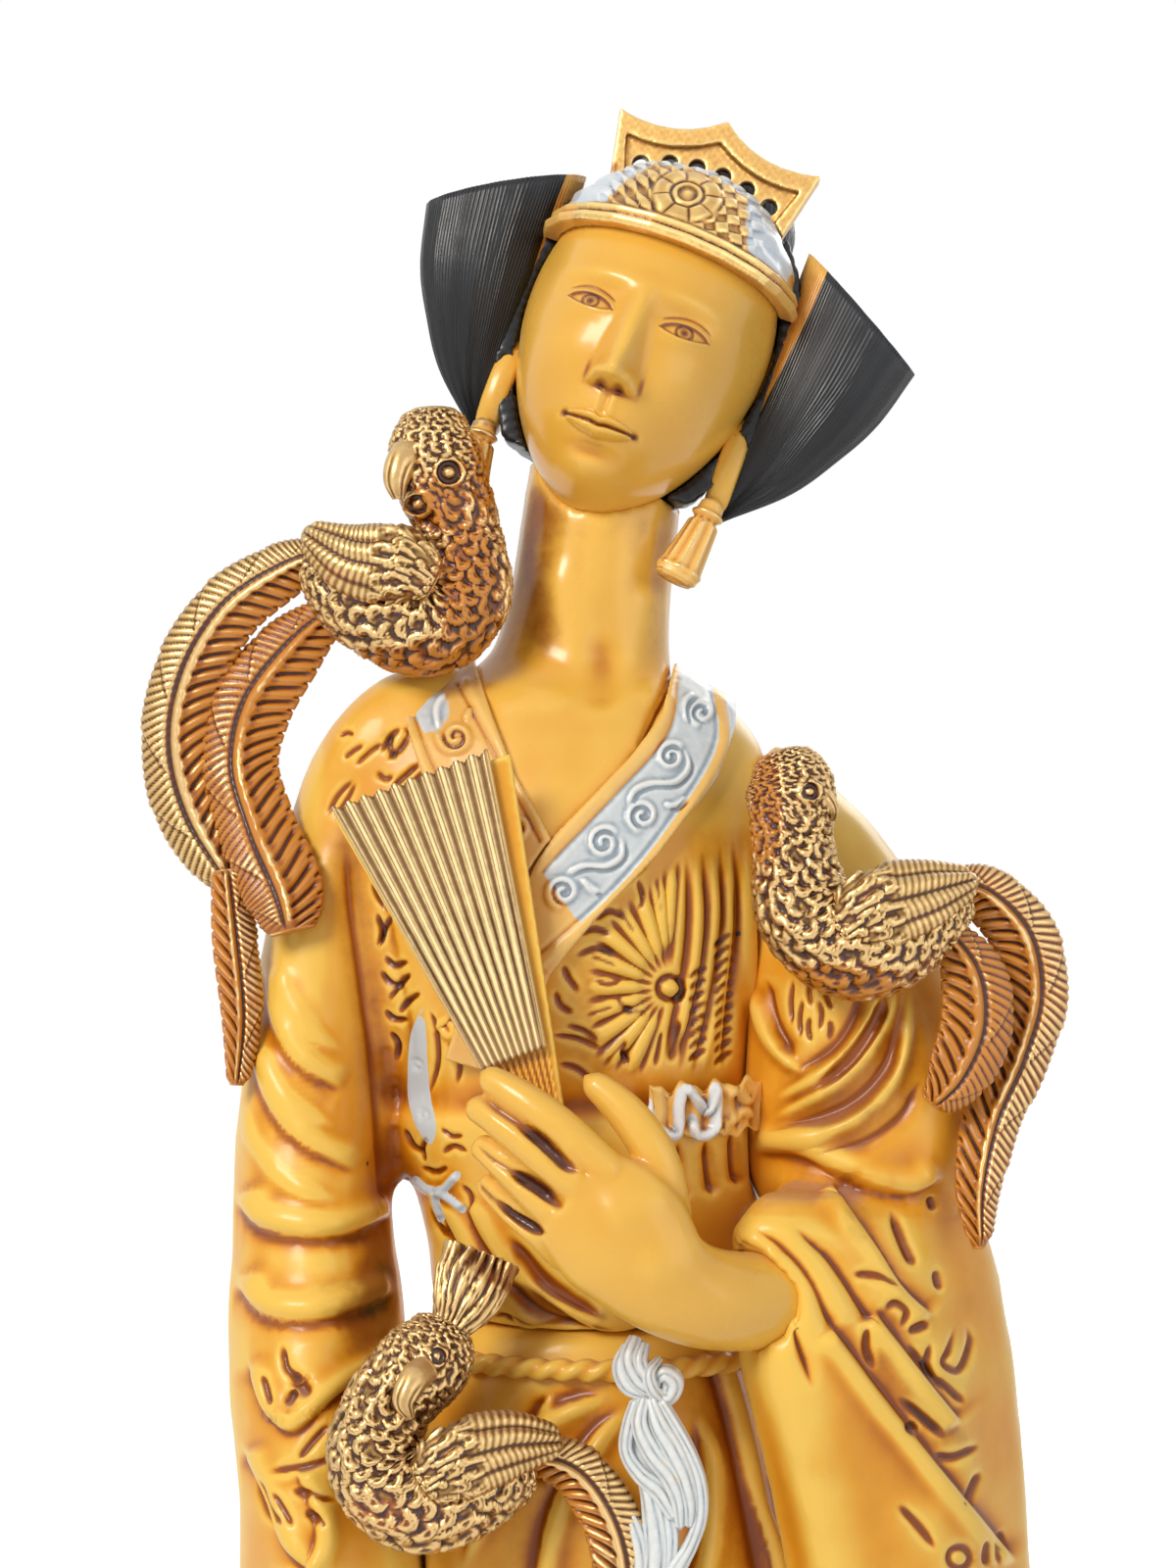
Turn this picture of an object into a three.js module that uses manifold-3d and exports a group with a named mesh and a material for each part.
// A standing figurine of a lady in a long robe, in glued resin castings on an oval wooden plinth.
// Millimetres, +Z up. She faces -Y, and +X is on the viewer's right.
// The origin is under the middle of the plinth.
import * as THREE from 'three';
import { mergeVertices } from 'three/addons/utils/BufferGeometryUtils.js';
import Module from 'manifold-3d';

const wasm = await Module();
wasm.setup();

// Driving dimensions
const glueGap = 0.3; // between two castings that are glued face to face
const finest = 0.02; // facets flatter than this are merged
const plinthHalfWidth = 41;
const plinthHalfDepth = 33;
const plinthHeight = 14;
const plinthStep = 2.4; // how far the top moulding steps in
const feltThickness = 1;
const feltInset = 2.5;
const screwRadius = 1.5;
const screwHeadRadius = 3;
const screwHeadHeight = 2;
const screwBite = 11; // how far a screw reaches into the skirt
const screwSpacing = 26;
const waistHeight = 146; // where the skirt casting meets the body casting
const neckline = 67; // top of the body casting
const sashBottom = 1;
const sashTop = 21;
const sashThickness = 1.7;
const cordHeight = -3.4;
const cordRadius = 1.1;
const cordHalfWidth = 18.2;
const cordHalfDepth = 14.6;
const frillThickness = 1.2;
const frillHeight = 5;
const frillEnds = [4, 15.5]; // X of its two ends
const frillOverlap = 1.6; // how far the frill reaches down in front of the sash
const collarDrop = 4.4; // from the top of the body casting down to the collar's ends
const combHoleRadius = 0.85;
const combHoleInset = 3.2; // from the comb's side to the first hole
const combHoleFoot = 3.6; // height of the outer holes over the comb's foot
const combHoleArch = 1.6; // how much higher the middle of the row stands
const lapelThickness = 1.3;
const hairThickness = 2.2;
const bandThickness = 1.5;
const headCentre = [4, 1, 99.5];
const headTop = 16.5; // above the head's centre
const headChin = -19.6;
const headHalfWidth = 12.3;
const headHalfDepth = 14.5;
const crownThickness = 1.3;
const crownRim = 0.7;
const crownHoles = 6;
const fanRadius = 48;
const fanInnerRadius = 19.5;
const fanPleats = 10;
const fanThickness = 1.5;
const fanStickThickness = 1.1;
const fanGuardWidth = 2.2; // how far the plain guard shows past the pleats

const colours = {
  robe: ['#d9952f', 0.35, 0],
  skin: ['#e8b75a', 0.3, 0],
  hair: ['#15161b', 0.3, 0],
  gold: ['#b8935a', 0.35, 0.8],
  white: ['#c9cdd2', 0.45, 0],
  wood: ['#2c1710', 0.35, 0],
  felt: ['#1f2a24', 0.95, 0],
  steel: ['#9a9a98', 0.35, 0.9],
};
const materials = {};
for (const [name, [color, roughness, metalness]] of Object.entries(colours)) {
  materials[name] = new THREE.MeshStandardMaterial({ name, color, roughness, metalness });
}

const v3 = (x, y, z) => new THREE.Vector3(x, y, z);
const degrees = (angle) => THREE.MathUtils.degToRad(angle);

// Solids from three.js geometries, and back

function solid(geometry) {
  const bare = geometry.index ? geometry.toNonIndexed() : geometry.clone();
  for (const name of Object.keys(bare.attributes)) if (name !== 'position') bare.deleteAttribute(name);
  const merged = mergeVertices(bare, 1e-4);
  const mesh = new wasm.Mesh({
    numProp: 3,
    vertProperties: merged.attributes.position.array,
    triVerts: new Uint32Array(merged.index.array),
  });
  return new wasm.Manifold(mesh);
}

function geometryOf(made) {
  const { vertProperties, triVerts } = made.getMesh();
  const geometry = new THREE.BufferGeometry();
  geometry.setAttribute('position', new THREE.BufferAttribute(vertProperties, 3));
  geometry.setIndex(new THREE.BufferAttribute(triVerts, 1));
  return geometry;
}

const join = (...solids) => solids.reduce((sum, one) => sum.add(one));
const cut = (from, ...others) => others.reduce((rest, one) => rest.subtract(one), from);

// The largest body that a cut leaves: crumbs past the cut are broken off.
function main(made) {
  return made.decompose().reduce((best, one) => (one.volume() > best.volume() ? one : best));
}

// A closed skin of rings. place(side, t) gives a point for a direction round the ring
// and a share of the way up.
// side.x is 1 on the ring's right, side.z is 1 at its front, and both are 0 at the middle of an end.
function skin(sides, steps, place) {
  const geometry = new THREE.CylinderGeometry(1, 1, 1, sides, steps);
  const position = geometry.attributes.position;
  for (let i = 0; i < position.count; i++) {
    const side = { x: position.getX(i), z: position.getZ(i) };
    const p = place(side, position.getY(i) + 0.5);
    position.setXYZ(i, p.x, p.y, p.z);
  }
  return geometry;
}

// A body of level sections, such as a skirt. Each station is [x, y, z, half width, half depth, fold depth].
function drape({ stations, sides = 28, steps = 10, folds = 0, phase = 0, turn = 0 }, grow = 0) {
  const centre = new THREE.CatmullRomCurve3(stations.map(([x, y, z]) => v3(x, y, z)));
  const size = new THREE.CatmullRomCurve3(stations.map(([, , , a, b, fold]) => v3(a, b, fold ?? 0)));
  const right = v3(Math.cos(degrees(turn)), Math.sin(degrees(turn)), 0);
  const front = v3(right.y, -right.x, 0);
  return skin(sides, steps, (side, t) => {
    const at = centre.getPoint(t);
    const half = size.getPoint(t);
    const round = Math.atan2(side.x, side.z);
    const wave = 1 + half.z * Math.cos(folds * round + phase);
    at.z += grow * (t < 0.5 / steps ? -1 : t > 1 - 0.5 / steps ? 1 : 0);
    return at.addScaledVector(right, side.x * (half.x * wave + grow))
      .addScaledVector(front, side.z * (half.y * wave + grow));
  });
}

// A limb along a path, such as an arm or a tail. Each station is [x, y, z, half width, half thickness].
// Its width lies in the plane that a viewer in front sees.
function limb({ stations, sides = 12, steps = 8 }, grow = 0) {
  const path = new THREE.CatmullRomCurve3(stations.map(([x, y, z]) => v3(x, y, z)));
  const size = new THREE.CatmullRomCurve3(stations.map(([, , , a, b]) => v3(a, b, 0)));
  return skin(sides, steps, (side, t) => {
    const at = path.getPoint(t);
    const along = path.getTangent(t);
    const right = v3(0, 1, 0).cross(along).normalize();
    const front = right.clone().cross(along).normalize();
    const half = size.getPoint(t);
    at.addScaledVector(along, grow * (t === 0 ? -1 : t === 1 ? 1 : 0));
    return at.addScaledVector(right, side.x * (half.x + grow))
      .addScaledVector(front, side.z * (half.y + grow));
  });
}

function ball([x, y, z], [a, b, c], grow = 0, wide = 12, high = 8) {
  return new THREE.SphereGeometry(1, wide, high).rotateX(Math.PI / 2)
    .scale(a + grow, b + grow, c + grow).translate(x, y, z);
}

// A plate drawn in the front plane, from depth y0 to y1.
function plate(outline, y0, y1) {
  const drawn = outline instanceof THREE.Shape;
  const shape = drawn ? outline : new THREE.Shape(outline.map(([x, z]) => new THREE.Vector2(x, z)));
  return new THREE.ExtrudeGeometry(shape, { depth: y1 - y0, bevelEnabled: false, curveSegments: 6 })
    .rotateX(Math.PI / 2).translate(0, y1, 0);
}

function block([x0, y0, z0], [x1, y1, z1]) {
  return new THREE.BoxGeometry(x1 - x0, y1 - y0, z1 - z0)
    .translate((x0 + x1) / 2, (y0 + y1) / 2, (z0 + z1) / 2);
}

// The figure's groups
const figurine = new THREE.Group();
const headGroup = new THREE.Group();
const plinthGroup = new THREE.Group();
figurine.position.z = waistHeight; // heights on the figure are measured from her waist
plinthGroup.position.z = -waistHeight;
figurine.add(plinthGroup);
headGroup.position.set(...headCentre);
// Chin up, leaning to +X and turned a little to -X.
headGroup.rotation.set(degrees(-7), degrees(20), degrees(-5), 'YZX');
figurine.add(headGroup);
headGroup.updateMatrix();
const fromHead = (geometry) => geometry.clone().applyMatrix4(headGroup.matrix);

function add(group, name, made, material) {
  const mesh = new THREE.Mesh(geometryOf(main(made).simplify(finest)), materials[material]);
  mesh.name = name;
  group.add(mesh);
}

// Plinth, felt and screws

const feltTop = feltThickness;
const plinthTop = feltTop + plinthHeight;
const skirtBottom = plinthTop + glueGap;

function oval(halfWidth, halfDepth, levels) {
  return drape({
    stations: levels.map(([z, inset]) => [0, 0, z, halfWidth - inset, halfDepth - inset]),
    sides: 40,
    steps: levels.length - 1,
  });
}

// The plinth's moulding, from the felt up: height, and how far it steps in.
const plinthLevels = [
  [feltTop, 1.2],
  [feltTop + 1.5, 0],
  [feltTop + plinthHeight * 0.45, 0],
  [feltTop + plinthHeight * 0.6, plinthStep],
  [plinthTop - 1.2, plinthStep],
  [plinthTop, plinthStep + 1.2],
];
const screwX = [-screwSpacing / 2, screwSpacing / 2];
const screwSeat = feltTop + screwHeadHeight + 3;

function rod(x, radius, z0, z1) {
  return new THREE.CylinderGeometry(radius, radius, z1 - z0, 16)
    .rotateX(Math.PI / 2).translate(x, 0, (z0 + z1) / 2);
}

const screwHoles = screwX.map((x) => join(
  solid(rod(x, screwHeadRadius + glueGap, feltTop - 1, screwSeat + glueGap)),
  solid(rod(x, screwRadius + glueGap, screwSeat, skirtBottom + screwBite + glueGap)),
));
const screws = screwX.map((x) => join(
  solid(rod(x, screwHeadRadius, screwSeat - screwHeadHeight, screwSeat)),
  solid(rod(x, screwRadius, screwSeat - 0.1, skirtBottom + screwBite)),
));

// Robe: skirt, body and sleeves

// The skirt's sections: share of the way up from the plinth, centre, half sizes and fold depth.
const skirtSections = [
  [0, 0, 35, 27, 0.055],
  [0.07, 0, 32.5, 25, 0.05],
  [0.22, -1, 28.5, 21.5, 0.045],
  [0.43, -1.5, 25.5, 19.5, 0.04],
  [0.65, -2, 24.5, 18.5, 0.035],
  [0.83, -2, 23.3, 17, 0.02],
  [1, -1, 15, 12.8, 0],
];
const skirtLow = skirtBottom - waistHeight;
const skirt = {
  sides: 33,
  steps: 10,
  folds: 11,
  stations: skirtSections.map(([share, x, a, b, fold]) =>
    [x, 2.2, THREE.MathUtils.lerp(skirtLow, -glueGap, share), a, b, fold]),
};
const body = {
  sides: 28,
  steps: 11,
  stations: [
    [-1, 2.5, 0, 14.8, 12.6],
    [-1.4, 2.5, 9, 15.2, 12.8],
    [-2.8, 2.2, 19, 17, 13.6],
    [-5, 1.8, 32, 20, 15.4],
    [-5.3, 1.8, 43, 21.6, 15.6],
    [-5.3, 2.2, 52, 22.6, 14],
    [-5.2, 3, 59.5, 20.5, 11.6],
    [-4.6, 3.5, 64.5, 13.5, 8.8],
    [-4, 3.8, neckline, 6.5, 5],
  ],
};
const rightSleeve = { // on the viewer's left
  sides: 14,
  steps: 7,
  stations: [
    [-24.5, 3, 59, 4.4, 6.5],
    [-26.8, 2.6, 52, 6, 8.3],
    [-28.4, 2, 40, 6.2, 9.3],
    [-29.8, 1, 26, 7.4, 10.2],
    [-29.4, 0, 14, 8.6, 11.2],
    [-28.8, -1, 5, 9.2, 12.2],
  ],
};
const rightDrape = {
  sides: 20,
  steps: 8,
  folds: 5,
  phase: 0.8,
  stations: [
    [-26.5, 1, -67, 7.5, 12.5, 0.08],
    [-26.8, -1, -56, 9, 15, 0.08],
    [-27.2, -3, -40, 9.6, 16, 0.07],
    [-27.2, -4, -20, 9.3, 15.6, 0.05],
    [-28.3, -2.5, -4, 9.8, 14, 0.03],
    [-28.8, -1, 5, 9.4, 12.2, 0],
  ],
};
const leftSleeve = { // on the viewer's right
  sides: 14,
  steps: 7,
  stations: [
    [14.5, 3.4, 56, 3.8, 6],
    [18.2, 3, 50.6, 5.8, 8.4],
    [23, 1.8, 41, 9, 10.4],
    [25.6, 0.6, 28, 12.2, 12],
    [26.2, 0, 17, 12.6, 12.4],
    [26.4, 0, 11, 10.6, 11],
  ],
};
const leftDrape = {
  sides: 24,
  steps: 8,
  folds: 6,
  phase: 1.1,
  turn: 42,
  stations: [
    [32.4, -2, -64, 10.6, 6.2, 0.09],
    [32.2, -3.6, -48, 13, 7.4, 0.09],
    [30.5, -6, -26, 14.2, 8, 0.07],
    [27.5, -8, -6, 16.6, 8.4, 0.05],
    [25, -8.2, 8, 17.4, 7.6, 0.02],
    [24.5, -8, 14, 12.5, 4.5, 0],
  ],
};

// Head, neck and bosom

// Half width and half depth share the jaw: it narrows and comes forward below the cheeks.
function headSkin(grow = 0) {
  const middle = (headTop + headChin) / 2;
  const half = (headTop - headChin) / 2;
  const geometry = new THREE.SphereGeometry(1, 22, 14).rotateX(Math.PI / 2);
  const position = geometry.attributes.position;
  for (let i = 0; i < position.count; i++) {
    const [x, y, z] = [position.getX(i), position.getY(i), position.getZ(i)];
    const low = Math.max(0, -z);
    const narrow = 1 + 0.12 * Math.max(0, z + 0.2) - 0.2 * low ** 2;
    const depth = y > 0 ? 1 - 0.42 * low : 1 - 0.1 * low;
    position.setXYZ(i, x * narrow * (headHalfWidth + grow), y * depth * (headHalfDepth + grow) - 1.5 * low,
      middle + z * (half + grow));
  }
  return geometry;
}

const noseLength = 7;
const nose = { sides: 8, steps: 4, stations: [
  [0, -13.6, 0, 1.2, 1],
  [0, -15, -3.4, 1.4, 1.4],
  [0, -16.2, -noseLength, 2.2, 1.7],
  [0, -15, -1.5 - noseLength, 1.6, 1],
] };
const ear = (sideX, grow = 0) => ball([sideX * (headHalfWidth + 0.2), 2, -9.5], [1.7, 3, 5.5], grow, 8, 6);
const headSolid = (grow = 0) => join(
  solid(headSkin(grow)),
  solid(limb(nose, grow)),
  solid(ear(-1, grow)),
  solid(ear(1, grow)),
);

const neck = {
  sides: 16,
  steps: 5,
  stations: [
    [-4, 4.6, 54, 10.4, 8.6],
    [-3.2, 4.4, 63, 9.8, 8.6],
    [-2, 4, 71, 8, 7.8],
    [-0.8, 3.6, 81, 7.6, 7.6],
    [0.8, 3.4, 90, 8, 8],
  ],
};

// The bare V of the bosom between the lapels, and the two lapels, as seen from the front.
const bosomOutline = (grow = 0) => [
  [-15.5 - grow, neckline + 2],
  [-11 - grow, 56],
  [-6.6, 47.4 - grow],
  [2.5 + grow, 57],
  [8.5 + grow, neckline + 2],
];
const overLapelOutline = [
  [7.4, neckline + 1], [5.6, 61], [2.2, 56.4], [-5, 49], [-12, 38], [-16, 27],
  [-9.5, 25.5], [-5.8, 35.5], [-1.5, 41], [4.6, 47.2], [10.6, 54.6], [12.8, 60], [13.2, neckline],
];
const underLapelOutline = [
  [-14.2, neckline + 1], [-9.6, 55.2], [-5.8, 48.6], [-11.5, 40.5],
  [-16, 49], [-18.6, 56], [-21.6, 65],
];

const headIn = (grow) => solid(fromHead(headSkin(grow)));
const bodyGrown = (grow) => solid(drape(body, grow));
const lapelShell = () => cut(bodyGrown(glueGap + lapelThickness), bodyGrown(glueGap));
const inFront = (outline) => solid(plate(outline, -30, 3));

const neckSolid = (grow = 0) => solid(limb(neck, grow));
const bosomSolid = bodyGrown(0.2).intersect(solid(plate(bosomOutline(), -30, 4)));
const neckAndBosom = cut(join(neckSolid(), bosomSolid), headIn(glueGap));
const neckSocket = join(neckSolid(glueGap), solid(plate(bosomOutline(glueGap), -30, 4 + glueGap)));

// The collar's back stands off the nape in a U.
const collarLow = neckline - collarDrop;
const collarBack = { sides: 8, steps: 12, stations: [
  [-19.6, 4, collarLow, 1.6, 1],
  [-17.4, 9, collarLow + 0.8, 2.2, 1],
  [-11.6, 13.6, collarLow + 1.2, 2.2, 1],
  [-4, 15, collarLow + 1.2, 2.2, 1],
  [3.6, 13.4, collarLow + 1, 2.2, 1],
  [9.4, 9, collarLow + 0.4, 2.2, 1],
  [11.6, 4, collarLow - 0.8, 1.6, 1],
] };

// A band whose wide side stands up while it runs round a level path.
function standingBand({ stations, sides = 10, steps = 16 }, grow = 0) {
  const path = new THREE.CatmullRomCurve3(stations.map(([x, y, z]) => v3(x, y, z)));
  const size = new THREE.CatmullRomCurve3(stations.map(([, , , a, b]) => v3(a, b, 0)));
  return skin(sides, steps, (side, t) => {
    const along = path.getTangent(t);
    const up = v3(0, 0, 1);
    const out = up.clone().cross(along).normalize();
    const half = size.getPoint(t);
    return path.getPoint(t)
      .addScaledVector(up, side.x * (half.x + grow))
      .addScaledVector(out, side.z * (half.y + grow));
  });
}

// Hair, head band and comb, in the head's own frame

const hairShell = (thickness) => cut(solid(headSkin(glueGap + thickness)), headSolid(glueGap));
const bandLow = 6.4;
const bandHigh = 17.4;
const bandBack = -1; // the band's ends tuck in front of the hair
const hairFront = bandBack + glueGap;
const hairLow = -15; // hairline at the nape
const napeRoom = solid(fromHead(headSkin(glueGap * 2 + hairThickness)))
  .intersect(solid(fromHead(block([-20, bandBack, hairLow - glueGap], [20, 20, 25]))));
const headBand = hairShell(bandThickness)
  .intersect(solid(block([-20, -20, bandLow], [20, bandBack, bandHigh])));
const hairCap = hairShell(hairThickness)
  .intersect(solid(block([-20, hairFront, hairLow], [20, 20, 25])));
const bun = (grow = 0) => ball([1, 9, 16.5], [9.2, 8.4, 7.4], grow, 14, 10);

// A wing of hair hangs between its inner and outer edges: each station is
// [inner x, inner z, outer x, outer z, y, half thickness].
const wingEdges = [
  [12.4, -15.6, 13.6, -14.8, 2.4, 1],
  [12.5, -9, 19.2, -9.8, 2.4, 3.4],
  [12.4, -1.5, 22.6, -4.8, 2.6, 5.4],
  [12.3, 6.5, 25.2, 0.2, 2.8, 6.6],
  [12.3, 15.4, 27, 6.8, 3, 7.2],
];
const wingSlope = 1.6; // how much lower the front of its top edge lies than the middle
function wingSkin(sideX, grow = 0) {
  const inner = new THREE.CatmullRomCurve3(wingEdges.map(([x, z, , , y]) => v3(x, y, z)));
  const outer = new THREE.CatmullRomCurve3(wingEdges.map(([, , x, z, y]) => v3(x, y, z)));
  const bulge = new THREE.CatmullRomCurve3(wingEdges.map(([, , , , , half]) => v3(half, 0, 0)));
  return skin(18, 6, (side, t) => {
    const from = inner.getPoint(t);
    const to = outer.getPoint(t);
    const across = to.clone().sub(from).normalize();
    const up = v3(0, -1, 0).cross(across);
    const at = from.add(to).multiplyScalar(0.5);
    at.addScaledVector(up, grow * (t === 0 ? -1 : t === 1 ? 1 : 0));
    const reach = at.distanceTo(to) + grow;
    at.addScaledVector(across, sideX * side.x * reach);
    at.y -= side.z * (bulge.getPoint(t).x + grow);
    at.z -= side.z * t * wingSlope;
    return v3(sideX * at.x, at.y, at.z);
  });
}
const wing = (sideX, grow = 0) => solid(wingSkin(sideX, grow));

const combFoot = 13.6;
const combTop = 21.9;
const combPeak = 24.3;
const combHalf = 10.2;
function combOutline(inset) {
  const shape = new THREE.Shape();
  shape.moveTo(-combHalf + 1 + inset, combFoot + inset * 0.3);
  shape.lineTo(combHalf - 1 - inset, combFoot + inset * 0.3);
  shape.lineTo(combHalf + 0.8 - inset, combTop - inset * 1.5);
  shape.quadraticCurveTo(combHalf * 0.45, combTop - 1.6 - inset, 0, combPeak - inset * 1.6);
  shape.quadraticCurveTo(-combHalf * 0.45, combTop - 1.6 - inset,
    -combHalf - 0.8 + inset, combTop - inset * 1.5);
  shape.closePath();
  return shape;
}
const combDepth = 0.6; // where its back stands, just behind the skull's middle
const combPlate = () => {
  const back = solid(plate(combOutline(0), combDepth - crownThickness, combDepth));
  const rim = cut(
    solid(plate(combOutline(0), combDepth - crownThickness - crownRim, combDepth - crownThickness + 0.1)),
    solid(plate(combOutline(1.5), combDepth - crownThickness - crownRim - 1, combDepth)),
  );
  const reach = combHalf - combHoleInset;
  const drill = new THREE.CylinderGeometry(combHoleRadius, combHoleRadius, 8, 10);
  const holes = Array.from({ length: crownHoles }, (_, i) => {
    const side = (2 * i) / (crownHoles - 1) - 1;
    const height = combFoot + combHoleFoot + combHoleArch * (1 - side * side);
    return solid(drill.clone().translate(side * reach, 0, height));
  });
  return cut(join(back, rim), ...holes);
};

const earring = (sideX) => ({ sides: 10, steps: 5, stations: [
  [sideX * 12.4, -0.2, -13.6, 1.2, 1.1],
  [sideX * 12, -0.8, -18, 1.7, 1.3],
  [sideX * 11.4, -1.4, -23, 2.3, 1.5],
] });

// Birds: each body runs from the top of the head to the rump

const birdRight = { sides: 12, steps: 11, stations: [
  [-17.4, -7, 91.2, 2.8, 2.8],
  [-17.2, -7.4, 86.2, 4.7, 4.7],
  [-14.8, -7, 79, 4, 4],
  [-14.4, -6.6, 73, 4.7, 4.8],
  [-18.5, -6.2, 70.2, 5.4, 5.4],
  [-25, -5.4, 73.4, 5, 5],
  [-29.2, -4.8, 77.6, 2.8, 3],
] };
const birdLeft = { sides: 12, steps: 11, stations: [
  [16.8, -11.5, 57, 2.6, 2.6],
  [17.8, -12.2, 53.6, 4.3, 4.3],
  [18, -13, 48, 3.9, 4],
  [19.4, -13.6, 41.6, 5, 5],
  [24.6, -13.6, 38.8, 5.8, 5.6],
  [30.4, -12.6, 41.4, 4.8, 4.8],
  [34.4, -11.4, 44, 2.8, 3],
] };
const birdWaist = { sides: 12, steps: 11, stations: [
  [-15.6, -17.4, 2.2, 2.6, 2.6],
  [-17.2, -18.6, -0.8, 4.3, 4.3],
  [-21.1, -19.6, -5.3, 4.1, 4.1],
  [-22, -20, -10.4, 4.8, 4.8],
  [-18.2, -20.2, -13.9, 5.2, 5],
  [-12.3, -18.8, -12.6, 4.6, 4.4],
  [-8.2, -17, -10.7, 3, 3],
] };
const beak = (at, towards) => {
  const third = at.map((value, i) => (value * 2 + towards[i]) / 3);
  const stations = [[...at, 1.8, 1.8], [...third, 1.5, 1.5], [...towards, 0.5, 0.6]];
  return solid(limb({ sides: 8, steps: 4, stations }));
};
const feather = (stations, grow = 0) => solid(limb({ stations, sides: 8, steps: 10 }, grow));
const tails = {
  right_bird_outer_tail: [
    [-28.2, -5, 77.2, 1.6, 1.4], [-32.6, -4, 75.4, 2.8, 1.5], [-38.2, -3, 71.6, 3.4, 1.5],
    [-42.2, -2, 65.4, 3.6, 1.5], [-43.6, -1.6, 58.2, 3.6, 1.5], [-41.8, -1.8, 51, 3.8, 1.5],
    [-37.8, -3.6, 44.2, 2.4, 1.3],
  ],
  right_bird_inner_tail: [
    [-27.8, -3.4, 71.4, 1.9, 1.2], [-31.9, -2.4, 67.6, 3.4, 1.3], [-35.9, -1.8, 62.2, 4.1, 1.3],
    [-37.2, -2, 56, 3.9, 1.3], [-35.2, -4, 49.6, 3.9, 1.3], [-32.2, -8, 43.6, 4, 1.3],
    [-31.2, -9.2, 39.4, 2.6, 1],
  ],
  right_bird_low_tail: [
    [-38.2, -5.4, 45.4, 1.6, 1.1], [-37.4, -6.2, 38.6, 2.2, 1.3], [-36.6, -6.9, 31, 2, 1.3],
    [-37, -7.1, 24, 1, 1],
  ],
  left_bird_outer_tail: [
    [33.6, -11, 44.2, 1.7, 1.4], [37.2, -10.4, 43, 2.8, 1.5], [40.9, -9.4, 39, 3.3, 1.5],
    [42, -8.8, 33.2, 3.4, 1.5], [40.4, -9, 27.2, 3.2, 1.5], [37.6, -10.4, 21, 2.9, 1.4],
    [36.1, -12.2, 14.4, 2.2, 1.3], [36.2, -12.8, 8.6, 0.9, 1],
  ],
  left_bird_inner_tail: [
    [32.6, -12.6, 40, 1.5, 1.2], [35.4, -12.8, 35.6, 3.1, 1.3], [35.8, -13.2, 30.4, 3.5, 1.3],
    [33.8, -13.6, 25.6, 3, 1.3], [31.4, -13.8, 22.8, 1.4, 1],
  ],
  waist_bird_tail: [
    [-8, -17.2, -10.1, 1.8, 1.6], [-2.9, -17.8, -12.2, 2.6, 1.6], [0.6, -18, -18, 2.8, 1.6],
    [1.4, -18.4, -25.8, 2.8, 1.6], [0.1, -19, -34, 2.4, 1.5], [-1.6, -19.4, -41.4, 1.2, 1.2],
  ],
};
const crest = { sides: 12, steps: 6, stations: [
  [-15.4, -18.2, 1.6, 1.8, 1.6],
  [-13.8, -17.4, 4.6, 3.4, 2],
  [-12.2, -15.8, 8.6, 4.2, 2],
] };

// Hand, fan, sash, cord and tassel

const handParts = [
  { sides: 14, steps: 8, stations: [ // forearm, wrist and back of the hand
    [24, -7, 6, 4.4, 4.4], [17, -14.6, 4.4, 4.7, 4.6], [10.6, -21, 5, 4.8, 4.2],
    [5.4, -24.6, 7.4, 5.2, 3.4], [1, -25.8, 12, 6.6, 3], [-3.4, -25.4, 15.8, 5.4, 2.4],
  ] },
  // index, middle, ring and little finger, then the thumb
  { stations: [[-1, -25.6, 18.6, 2, 1.9], [-7.6, -24.6, 24, 1.9, 1.8], [-12.6, -22.4, 27, 1.2, 1.2]] },
  { stations: [[-3, -25.8, 16.6, 2, 1.9], [-8.6, -24.9, 21.4, 1.9, 1.8], [-13.8, -22.2, 24, 1.2, 1.2]] },
  { stations: [[-4.4, -25.4, 13.4, 1.9, 1.8], [-9.2, -24.3, 17.6, 1.8, 1.7], [-13, -21.6, 20.3, 1.2, 1.1]] },
  { stations: [[-4.6, -24.4, 10.6, 1.9, 1.7], [-9, -23.3, 14.2, 1.7, 1.6], [-12.4, -20.8, 16.8, 1.1, 1.1]] },
  { stations: [[5.6, -24, 13, 2.3, 2.2], [3.6, -23.6, 19.4, 2, 2], [-2.8, -22.2, 26.8, 1.2, 1.2]] },
];
const hand = (grow = 0) =>
  join(...handParts.map((part) => solid(limb({ steps: 4, sides: 10, ...part }, grow))));

// The fan is half open: it turns about a point under the palm, and its pleats run out from there.
const fanPivot = v3(-2.2, -22.2, 9.7);
const fanLean = 20.6; // degrees to the viewer's left
const fanHalfAngle = 9.3;
const fanTilt = 4.6; // degrees that its top leans back to the breast
const fanFoot = 6; // from the pivot to the sticks' lower ends
const fanFrame = new THREE.Matrix4()
  .makeRotationFromEuler(new THREE.Euler(degrees(-fanTilt), degrees(-fanLean), 0, 'YXZ'))
  .setPosition(fanPivot);

// A flat shape drawn at the fan's rim, drawn in to a point at its pivot. Its third axis runs along the fan.
function fanWedge(outline, inner, outer) {
  const shape = new THREE.Shape(outline.map(([x, y]) => new THREE.Vector2(x, y)));
  const depth = outer - inner;
  const geometry = new THREE.ExtrudeGeometry(shape, { depth, bevelEnabled: false }).translate(0, 0, inner);
  const position = geometry.attributes.position;
  for (let i = 0; i < position.count; i++) {
    position.setX(i, position.getX(i) * position.getZ(i) / fanRadius);
  }
  return geometry.applyMatrix4(fanFrame);
}

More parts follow.
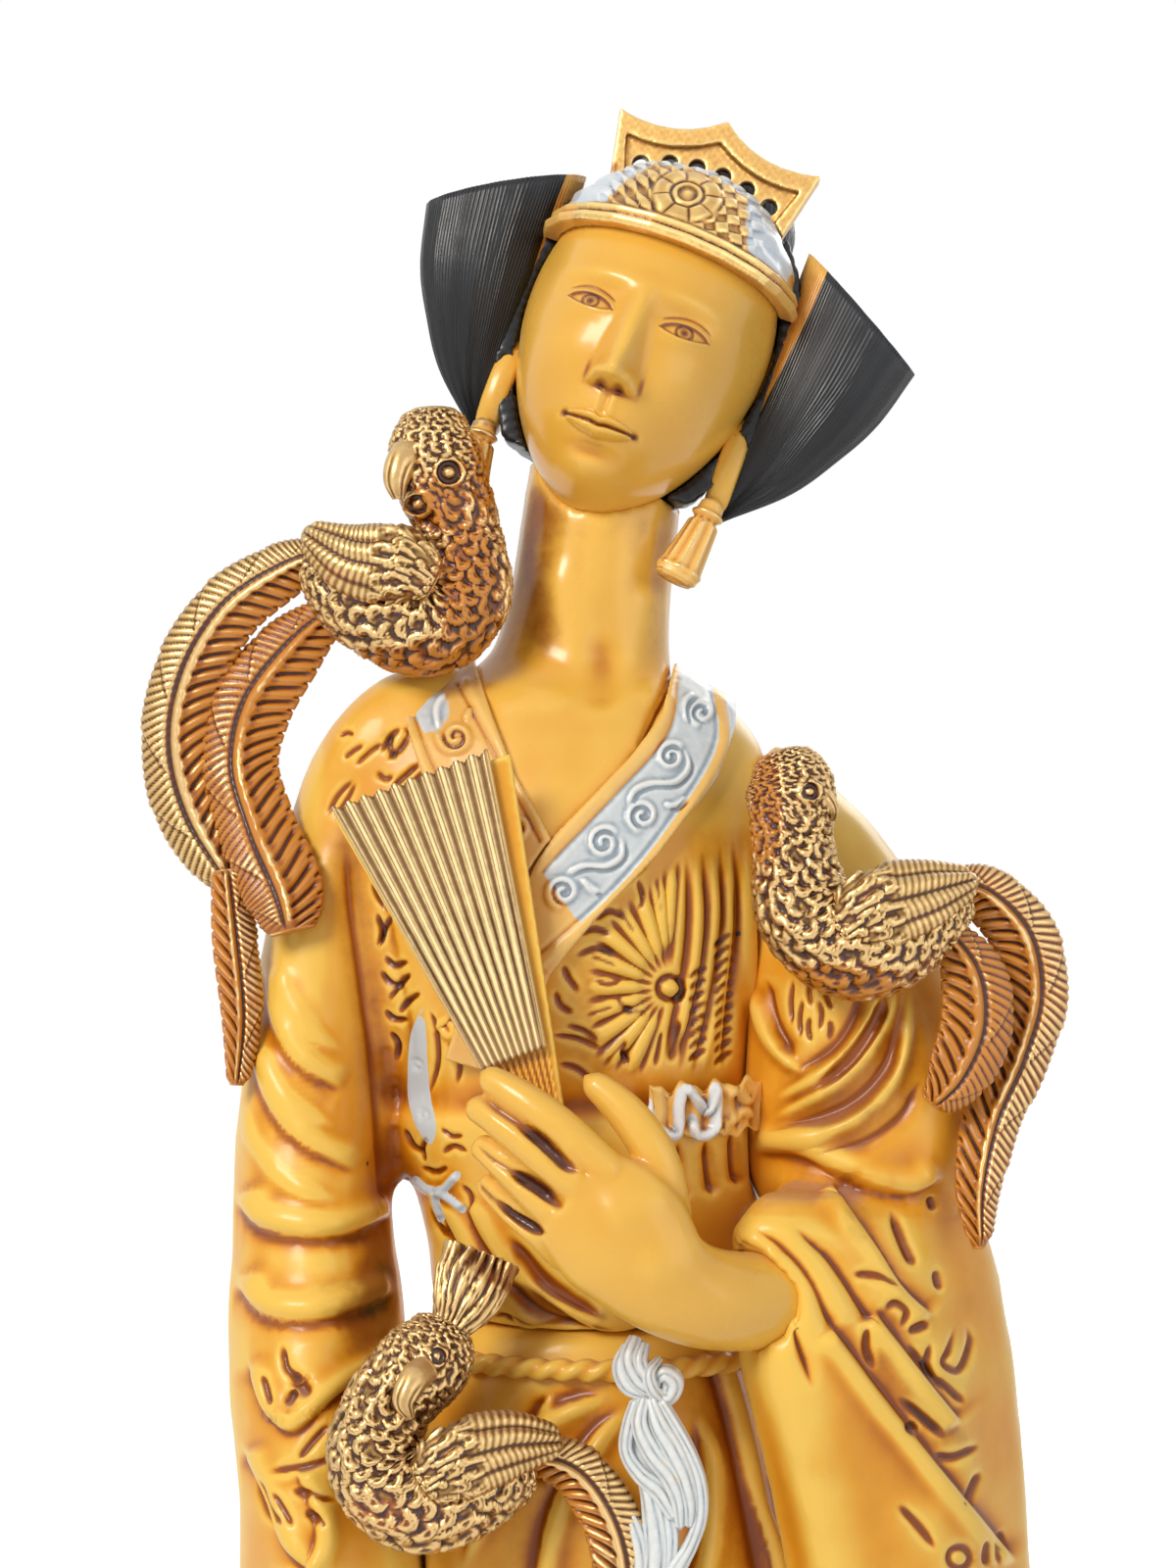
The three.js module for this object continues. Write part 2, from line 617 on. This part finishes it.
const fanHalf = fanRadius * Math.tan(degrees(fanHalfAngle));
function leafOutline() {
  const pitch = 2 * fanHalf / fanPleats;
  const ridges = Array.from({ length: 2 * fanPleats + 1 }, (_, i) =>
    [fanHalf - i * pitch / 2, i % 2 ? -fanThickness : -fanThickness * 0.45]);
  return [[-fanHalf, 0], [fanHalf, 0], ...ridges];
}
const fanLeaf = solid(fanWedge(leafOutline(), fanInnerRadius, fanRadius));
const stickLeft = -fanHalf - 0.5;
const stickRight = fanHalf + fanGuardWidth;
const stickBack = glueGap + fanStickThickness;
const stickBlock = (grow = 0) => solid(fanWedge([
  [stickLeft - grow, glueGap - grow], [stickRight + grow, glueGap - grow],
  [stickRight + grow, stickBack + grow], [stickLeft - grow, stickBack + grow],
], fanFoot - grow, fanRadius - 1 + grow));
const leafBlock = (grow = 0) => solid(fanWedge([
  [-fanHalf - grow, -fanThickness - grow], [fanHalf + grow, -fanThickness - grow],
  [fanHalf + grow, grow], [-fanHalf - grow, grow],
], fanInnerRadius - grow, fanRadius + grow));

const sashShell = (low, high, inner, outer) => cut(bodyGrown(outer), bodyGrown(inner))
  .intersect(solid(block([-60, -60, low], [60, 60, high])));
const skirtGrown = (grow) => solid(drape(skirt, grow));

function cordSolid(grow = 0) {
  // A torus stretched to the oval of the waist, with its section kept round.
  const drawn = 10;
  const geometry = new THREE.TorusGeometry(drawn, cordRadius + grow, 6, 36);
  const position = geometry.attributes.position;
  for (let i = 0; i < position.count; i++) {
    const [x, y, z] = [position.getX(i), position.getY(i), position.getZ(i)];
    const reach = Math.hypot(x, y);
    const out = reach - drawn;
    position.setXYZ(i, -1 + x / reach * (cordHalfWidth + out), 2.3 + y / reach * (cordHalfDepth + out),
      cordHeight + z);
  }
  return solid(geometry);
}

const knotBalls = (grow = 0) => join(
  solid(ball([2.8, -16.4, -2.4], [2.2, 1.9, 3], grow, 10, 6)),
  solid(ball([5.2, -16.2, -3.8], [2.2, 1.8, 2], grow, 10, 6)),
);
const tassel = { sides: 10, steps: 7, stations: [
  [3.3, -17.4, -4.2, 1.5, 1.3], [3.8, -18, -9, 2.5, 1.5], [5.5, -18.4, -15.5, 3.6, 1.6],
  [6.1, -18.6, -22.9, 3.6, 1.6], [4.6, -18.8, -31.3, 2.6, 1.4],
] };
const drumBow = (grow = 0) => solid(drape({
  sides: 18,
  steps: 6,
  stations: [
    [-3.5, 20.6, 4, 10, 2.4], [-3.5, 20.8, 8, 12.4, 4.2], [-3.5, 21, 16, 13, 4.8],
    [-3.5, 20.6, 23, 12.2, 4.4], [-3.5, 20, 27, 9.6, 2.6],
  ],
}, grow));

// Cuts and assembly

// Each bird is its body, its beak and the wing on the viewer's side.
const birdForms = {
  right: {
    body: birdRight,
    beakAt: [[-19.6, -9.4, 86.6], [-21.2, -11, 81.6]],
    wing: [[-21.4, -9.6, 74.6], [6.2, 3, 4]],
  },
  left: {
    body: birdLeft,
    beakAt: [[20, -13.4, 53], [23.2, -13, 50.6]],
    wing: [[26.6, -16.6, 41.6], [6.4, 3, 4]],
  },
  waist: {
    body: birdWaist,
    beakAt: [[-14.8, -20.6, -1.6], [-12.6, -21.6, -3.8]],
    wing: [[-12.8, -21.2, -10.8], [6.6, 2.8, 3.2]],
  },
};
const birds = {};
const birdGrown = {};
for (const [side, { body: form, beakAt, wing: [at, size] }] of Object.entries(birdForms)) {
  birds[side] = join(solid(limb(form)), beak(...beakAt), solid(ball(at, size)));
  birdGrown[side] = join(solid(limb(form, glueGap)), solid(ball(at, size, glueGap)));
}
const tailGrown = {};
for (const [name, stations] of Object.entries(tails)) tailGrown[name] = feather(stations, glueGap);

// Head group
const headAlone = headSolid();
add(headGroup, 'head', headAlone, 'skin');
add(headGroup, 'head_band', headBand, 'gold');
const capGrown = solid(headSkin(glueGap * 2 + hairThickness));
const bandGrown = solid(headSkin(glueGap * 2 + bandThickness));
const combRoom = solid(plate(combOutline(-glueGap), -4, combDepth + glueGap));
const bandRoom = bandGrown
  .intersect(solid(block([-20, -20, hairLow], [20, bandBack + glueGap, bandHigh + glueGap])));
add(headGroup, 'hair_cap', cut(hairCap, combRoom), 'hair');
add(headGroup, 'hair_comb', cut(combPlate(), headSolid(glueGap), bandRoom), 'gold');
add(headGroup, 'hair_bun', cut(solid(bun()), capGrown, combRoom), 'hair');
for (const [sideX, name] of [[-1, 'right'], [1, 'left']]) {
  const bareWing = cut(wing(sideX), capGrown, bandGrown, headSolid(glueGap), solid(bun(glueGap)), combRoom);
  add(headGroup, `hair_wing_${name}`, bareWing, 'hair');
  const drop = cut(solid(limb(earring(sideX))), headSolid(glueGap), wing(sideX, glueGap));
  add(headGroup, `earring_${name}`, drop, 'gold');
}

// Neck and body
const earRoom = [-1, 1].map((sideX) => solid(fromHead(ear(sideX, glueGap))));
const neckBare = cut(neckAndBosom, napeRoom, ...earRoom, birdGrown.right);
add(figurine, 'neck_and_bosom', neckBare, 'skin');
const overLapel = cut(lapelShell().intersect(inFront(overLapelOutline)), stickBlock(glueGap),
  leafBlock(glueGap), birdGrown.right, neckSolid(glueGap));
add(figurine, 'over_lapel', overLapel, 'white');
const overRoom = overLapelOutline.map(([x, z]) => [x - glueGap, z]);
const underLapel = cut(lapelShell().intersect(inFront(underLapelOutline)),
  bodyGrown(glueGap * 2 + lapelThickness).intersect(inFront(overRoom)), inFront(overLapelOutline),
  stickBlock(glueGap), leafBlock(glueGap), birdGrown.right, neckSolid(glueGap));
add(figurine, 'under_lapel', underLapel, 'white');

const bodySolid = cut(bodyGrown(0), neckSocket, birdGrown.right, birdGrown.left, hand(glueGap),
  stickBlock(glueGap), leafBlock(glueGap), drumBow(glueGap), solid(standingBand(collarBack, glueGap)));
add(figurine, 'robe_body', bodySolid, 'robe');
const lapelRoom = inFront([
  [-40, neckline - 23], [40, neckline - 23], [40, neckline + 17], [-40, neckline + 17],
]);
add(figurine, 'collar_back', cut(solid(standingBand(collarBack)), neckSolid(glueGap), lapelRoom), 'white');

// Sleeves
const bodyOuter = bodyGrown(glueGap);
const rightUpper = cut(solid(limb(rightSleeve)), bodyOuter, birdGrown.right,
  tailGrown.right_bird_outer_tail, tailGrown.right_bird_inner_tail, tailGrown.right_bird_low_tail);
add(figurine, 'right_sleeve', rightUpper, 'robe');
const leftUpper = cut(solid(limb(leftSleeve)), bodyOuter, birdGrown.left,
  tailGrown.left_bird_outer_tail, tailGrown.left_bird_inner_tail);
const sashRoom = bodyGrown(glueGap * 2 + sashThickness + 1);
const leftFall = cut(solid(drape(leftDrape)), hand(glueGap), sashRoom);
add(figurine, 'left_sleeve_fall', cut(leftFall, tailGrown.left_bird_outer_tail), 'robe');
add(figurine, 'left_sleeve', cut(leftUpper, solid(drape(leftDrape, glueGap)), hand(glueGap)), 'robe');
const rightFall = cut(solid(drape(rightDrape)), solid(limb(rightSleeve, glueGap)), sashRoom, birdGrown.waist,
  solid(limb(crest, glueGap)));
add(figurine, 'right_sleeve_fall', rightFall, 'robe');

// Sash, cord and skirt
const bowGrown = drumBow(glueGap);
const leftRoom = [solid(drape(leftDrape, glueGap)), solid(limb(leftSleeve, glueGap))];
const rightRoom = [solid(drape(rightDrape, glueGap)), solid(limb(rightSleeve, glueGap))];
const sash = cut(sashShell(sashBottom, sashTop, glueGap, glueGap + sashThickness), hand(glueGap),
  stickBlock(glueGap), ...leftRoom, ...rightRoom, bowGrown, birdGrown.waist, solid(limb(crest, glueGap)));
add(figurine, 'sash', sash, 'robe');
add(figurine, 'sash_bow', drumBow(), 'robe');
const frillInner = glueGap * 2 + sashThickness;
const frillLow = sashTop - frillOverlap;
const frill = sashShell(frillLow, frillLow + frillHeight, frillInner, frillInner + frillThickness)
  .intersect(solid(block([frillEnds[0], -40, sashBottom], [frillEnds[1], 0, sashTop + 13])));
add(figurine, 'sash_frill', cut(frill, hand(glueGap), ...leftRoom, birdGrown.left), 'white');
const cordCut = cut(cordSolid(), knotBalls(glueGap), rightRoom[0], leftRoom[0], birdGrown.waist);
add(figurine, 'sash_cord', cordCut, 'robe');
add(figurine, 'cord_knot', cut(knotBalls(), skirtGrown(glueGap)), 'white');
const tasselSolid = cut(solid(limb(tassel)), knotBalls(glueGap), skirtGrown(glueGap),
  tailGrown.waist_bird_tail);
add(figurine, 'cord_tassel', tasselSolid, 'white');
const skirtSolid = cut(skirtGrown(0), rightRoom[0], leftRoom[0], birdGrown.waist, cordSolid(glueGap),
  ...screwHoles.map((hole) => hole.translate(0, 0, -waistHeight)));
add(figurine, 'skirt', skirtSolid, 'robe');

// Hand and fan
const handSolid = cut(hand(), stickBlock(glueGap), leafBlock(glueGap),
  bodyGrown(glueGap * 2 + sashThickness));
add(figurine, 'left_hand', handSolid, 'skin');
add(figurine, 'fan_leaf', fanLeaf, 'gold');
add(figurine, 'fan_sticks', cut(stickBlock(), bodyGrown(glueGap)), 'robe');

// Birds
const rightWingRoom = solid(fromHead(wingSkin(-1, glueGap)));
const rightDropRoom = solid(fromHead(limb(earring(-1), glueGap)));
const rightBird = cut(birds.right, headIn(glueGap), earRoom[0], rightWingRoom, rightDropRoom);
add(figurine, 'right_shoulder_bird', rightBird, 'gold');
add(figurine, 'left_shoulder_bird', birds.left, 'gold');
add(figurine, 'waist_bird', cut(birds.waist, solid(limb(crest, glueGap))), 'gold');
const crestSolid = cut(solid(limb(crest)), bodyGrown(glueGap * 2 + sashThickness), skirtGrown(glueGap));
add(figurine, 'waist_bird_crest', crestSolid, 'gold');
const tailNames = Object.keys(tails);
tailNames.forEach((name, i) => {
  const side = name.split('_')[0];
  const before = tailNames.slice(0, i).filter((other) => other.startsWith(side))
    .map((other) => tailGrown[other]);
  const behind = side === 'waist' ? [skirtGrown(glueGap)] : [];
  add(figurine, name, cut(feather(tails[name]), birdGrown[side], ...before, ...behind), 'gold');
});

// Plinth
const plinthSolid = cut(solid(oval(plinthHalfWidth, plinthHalfDepth, plinthLevels)), ...screwHoles);
add(plinthGroup, 'plinth', plinthSolid, 'wood');
const felt = oval(plinthHalfWidth - feltInset, plinthHalfDepth - feltInset, [[0, 0], [feltTop, 0]]);
add(plinthGroup, 'felt_pad', solid(felt), 'felt');
screws.forEach((screw, i) => add(plinthGroup, `plinth_screw_${i + 1}`, screw, 'steel'));

export default figurine;
